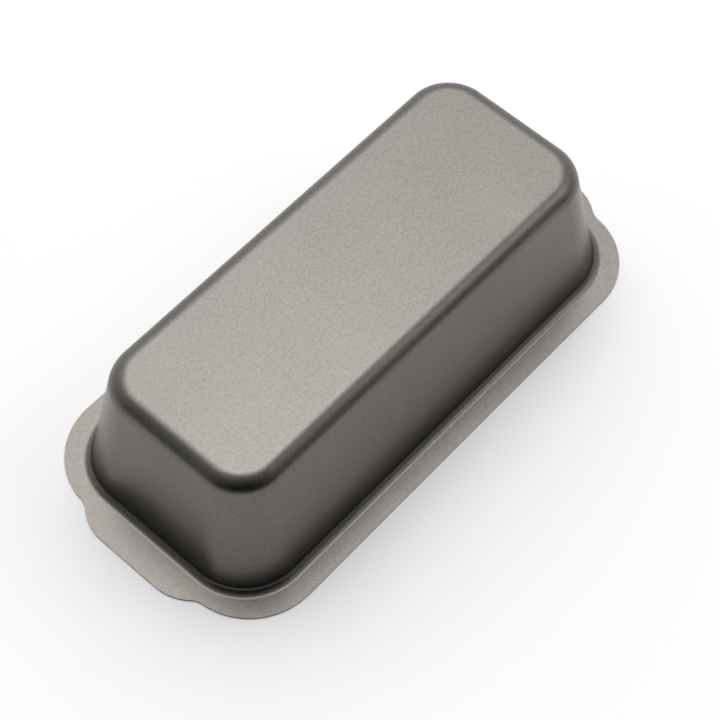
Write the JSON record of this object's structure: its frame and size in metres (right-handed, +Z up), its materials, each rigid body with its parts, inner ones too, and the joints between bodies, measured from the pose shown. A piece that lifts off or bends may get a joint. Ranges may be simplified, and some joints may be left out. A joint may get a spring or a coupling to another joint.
{
  "type": "loaf pan",
  "caption": "Deep one-piece pressed loaf pan with rounded corners and base edge, a flat rim and shallow end tabs, non-stick film on both faces, shown standing on its rim.",
  "frame": {"origin": "centre of the rim, on the surface that the rim rests on while the pan stands mouth down", "axes": "+X along the pan's length towards a short end with its tab, +Z up through the base; turn it half a turn about X for baking"},
  "size_m": [0.28, 0.133, 0.0692],
  "materials": {
    "nonstick_outside": "matt champagne-grey metallic non-stick film with fine speckle",
    "carbon_steel": "cold-rolled carbon steel, bare only on the trimmed edge",
    "nonstick_inside": "matt champagne-grey metallic non-stick film, a little smoother than outside"
  },
  "bodies": {
    "root": {"outside_coating": "nonstick_outside", "steel_pressing": "carbon_steel", "inside_coating": "nonstick_inside"}
  },
  "joints": []
}
